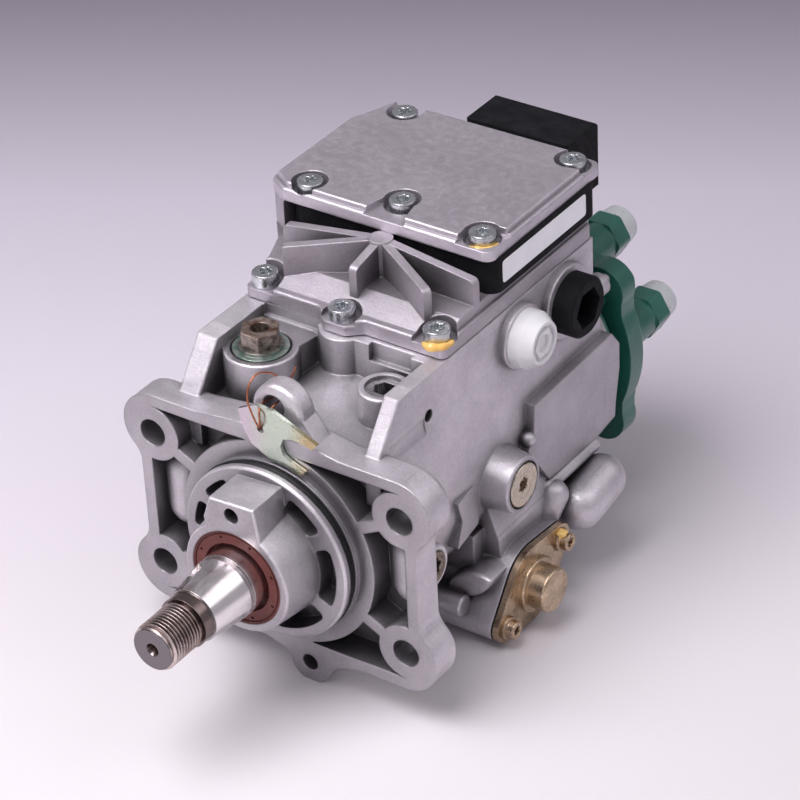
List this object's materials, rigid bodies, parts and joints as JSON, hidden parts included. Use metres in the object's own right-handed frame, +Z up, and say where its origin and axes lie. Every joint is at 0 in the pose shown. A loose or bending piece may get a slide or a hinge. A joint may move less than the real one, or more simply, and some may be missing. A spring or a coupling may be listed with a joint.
{
  "type": "diesel injection pump",
  "caption": "Distributor injection pump for a diesel engine: cast flange housing, keyed taper shaft, top control unit and a ring of high-pressure outlets.",
  "frame": {"origin": "centre of the mounting flange's front face, on the drive shaft's axis and in the middle of the bolt pattern", "axes": "-Y towards the drive end along the shaft, +Z up through the control unit, +X to the right as seen from the drive end"},
  "size_m": [0.1333, 0.2809, 0.156],
  "materials": {
    "cast_aluminium": "satin, sand-blasted casting",
    "cover_aluminium": "satin casting",
    "shaft_steel": "ground",
    "bright_steel": "ground",
    "dark_steel": "matt, oiled",
    "zinc_screw": "bright zinc",
    "yellow_zinc": "yellow zinc plating on steel",
    "green_zinc": "yellow-green zinc plating",
    "copper_wire": "bare copper wire",
    "black_rubber": "smooth",
    "brown_rubber": "smooth fluor rubber",
    "black_plastic": "fine grain",
    "white_plastic": "smooth",
    "clear_plastic": "milky translucent",
    "green_paint": "satin enamel",
    "board_green": "lacquered board",
    "tin_pin": "tinned",
    "gasket": "paper and rubber"
  },
  "bodies": {
    "casing": {"pump_housing": "cast_aluminium", "pilot_o_ring": "black_rubber", "shaft_seal": "brown_rubber", "front_bearing": "bright_steel", "vane_ring": "bright_steel", "port_plate": "bright_steel", "angle_sensor": "black_plastic", "timing_spring": "dark_steel", "timing_cover": "yellow_zinc", "timing_gaskets": "gasket", "timing_end_cover": "cover_aluminium", "timing_screws": "yellow_zinc", "timing_valve": "black_plastic", "distributor_head": "green_paint", "head_o_ring": "black_rubber", "distributor_sleeve": "bright_steel", "head_screws": "green_paint", "delivery_valve_holders": "green_paint", "outlet_caps": "clear_plastic", "solenoid_body": "green_paint", "solenoid_coil": "copper_wire", "ecu_base_gasket": "gasket", "ecu_base": "cover_aluminium", "ecu_base_screws": "zinc_screw", "ecu_ring": "black_plastic", "circuit_board": "board_green", "ecu_cover": "cover_aluminium", "ecu_cover_screws": "zinc_screw", "ecu_connector": "black_plastic", "connector_pins": "tin_pin", "lock_bolt_seal": "black_rubber", "socket_plug": "bright_steel", "side_torx_plug": "yellow_zinc", "side_torx_seal": "black_rubber", "flange_torx_plug": "dark_steel", "return_port_cap": "white_plastic", "feed_port_plug": "black_plastic", "pressure_valve": "bright_steel"},
    "shaft_line": {"drive_shaft": "shaft_steel", "vane_rotor": "bright_steel", "feed_vanes": "bright_steel", "angle_wheel": "dark_steel", "roller_shoes": "dark_steel", "plungers": "bright_steel", "distributor_shaft": "bright_steel"},
    "timing_cam": {"cam_ring": "bright_steel"},
    "advance_piston": {"timing_piston": "bright_steel"},
    "injection_needle": {"solenoid_needle": "bright_steel"},
    "shaft_lock": {"lock_bolt": "dark_steel"},
    "lock_tag": {"lock_plate": "green_zinc", "tie_wire": "copper_wire"},
    "cam_roller_1": {"roller_1": "bright_steel"},
    "cam_roller_2": {"roller_2": "bright_steel"},
    "cam_roller_3": {"roller_3": "bright_steel"},
    "outlet_valve_1": {"delivery_valve_1": "bright_steel"},
    "outlet_valve_2": {"delivery_valve_2": "bright_steel"},
    "outlet_valve_3": {"delivery_valve_3": "bright_steel"},
    "outlet_valve_4": {"delivery_valve_4": "bright_steel"},
    "outlet_valve_5": {"delivery_valve_5": "bright_steel"},
    "outlet_valve_6": {"delivery_valve_6": "bright_steel"}
  },
  "joints": [
    {"name": "shaft_spin", "type": "hinge", "parent": "casing", "child": "shaft_line", "pos_m": [0, 0, 0], "axis": [0, 1, 0], "continuous": true},
    {"name": "roller_1_spin", "type": "hinge", "parent": "shaft_line", "child": "cam_roller_1", "pos_m": [0, 0.077, 0.01988], "axis": [0, 1, 0], "continuous": true},
    {"name": "roller_2_spin", "type": "hinge", "parent": "shaft_line", "child": "cam_roller_2", "pos_m": [-0.01722, 0.077, -0.00994], "axis": [0, 1, 0], "continuous": true},
    {"name": "roller_3_spin", "type": "hinge", "parent": "shaft_line", "child": "cam_roller_3", "pos_m": [0.01722, 0.077, -0.00994], "axis": [0, 1, 0], "continuous": true},
    {"name": "cam_ring_turn", "type": "hinge", "parent": "casing", "child": "timing_cam", "pos_m": [0, 0.077, 0], "axis": [0, -1, 0], "range_deg": [0, 16], "stiffness_Nm_per_rad": 5.13, "springref_deg": -15.18},
    {"name": "advance_slide", "type": "slide", "parent": "casing", "child": "advance_piston", "axis": [1, 0, 0], "range_m": [0, 0.0127], "deforming": ["timing_spring"]},
    {"name": "needle_slide", "type": "slide", "parent": "casing", "child": "injection_needle", "axis": [0, 1, 0], "range_m": [0, 0.0004], "stiffness_N_per_m": 1500, "springref_m": -0.002},
    {"name": "outlet_valve_1_lift", "type": "slide", "parent": "casing", "child": "outlet_valve_1", "axis": [0, 1, 0], "range_m": [0, 0.0015], "stiffness_N_per_m": 1000, "springref_m": -0.003},
    {"name": "outlet_valve_2_lift", "type": "slide", "parent": "casing", "child": "outlet_valve_2", "axis": [0, 1, 0], "range_m": [0, 0.0015], "stiffness_N_per_m": 1000, "springref_m": -0.003},
    {"name": "outlet_valve_3_lift", "type": "slide", "parent": "casing", "child": "outlet_valve_3", "axis": [0, 1, 0], "range_m": [0, 0.0015], "stiffness_N_per_m": 1000, "springref_m": -0.003},
    {"name": "outlet_valve_4_lift", "type": "slide", "parent": "casing", "child": "outlet_valve_4", "axis": [0, 1, 0], "range_m": [0, 0.0015], "stiffness_N_per_m": 1000, "springref_m": -0.003},
    {"name": "outlet_valve_5_lift", "type": "slide", "parent": "casing", "child": "outlet_valve_5", "axis": [0, 1, 0], "range_m": [0, 0.0015], "stiffness_N_per_m": 1000, "springref_m": -0.003},
    {"name": "outlet_valve_6_lift", "type": "slide", "parent": "casing", "child": "outlet_valve_6", "axis": [0, 1, 0], "range_m": [0, 0.0015], "stiffness_N_per_m": 1000, "springref_m": -0.003},
    {"name": "lock_bolt_lift", "type": "slide", "parent": "casing", "child": "shaft_lock", "axis": [0, 0, 1], "range_m": [0, 0.0025]},
    {"name": "lock_tag_swing", "type": "hinge", "parent": "casing", "child": "lock_tag", "pos_m": [0.001, 0, 0.0569], "axis": [0, -1, 0], "range_deg": [0, 25]}
  ],
  "couplings": [
    {"joint": "advance_slide", "follows": "cam_ring_turn", "m_per_rad": 0.045292}
  ]
}
